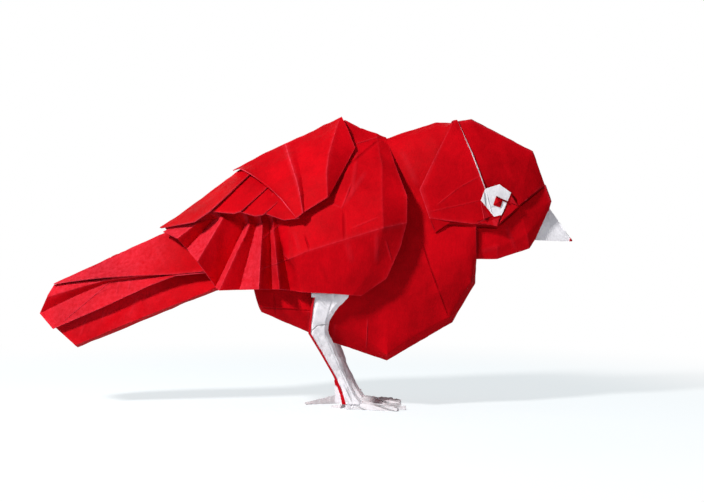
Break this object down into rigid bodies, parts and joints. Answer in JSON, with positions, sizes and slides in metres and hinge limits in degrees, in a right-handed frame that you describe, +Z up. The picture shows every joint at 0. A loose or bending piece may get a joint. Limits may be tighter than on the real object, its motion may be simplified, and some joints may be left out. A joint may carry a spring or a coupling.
{
  "type": "folded_paper_songbird",
  "caption": "Songbird folded from one sheet of paper, red on one face and white on the other, standing on its two feet with wings closed and head low.",
  "frame": {"origin": "On the floor under the middle of the bird, at the bottom centre of its box.", "axes": "+X from the tail to the beak, +Y to the bird's left side, +Z up."},
  "size_m": [0.1598, 0.0424, 0.0869],
  "materials": {
    "red_paper": "matte",
    "white_paper": "matte"
  },
  "bodies": {
    "root": {"folded_sheet": "red_paper"}
  },
  "joints": []
}
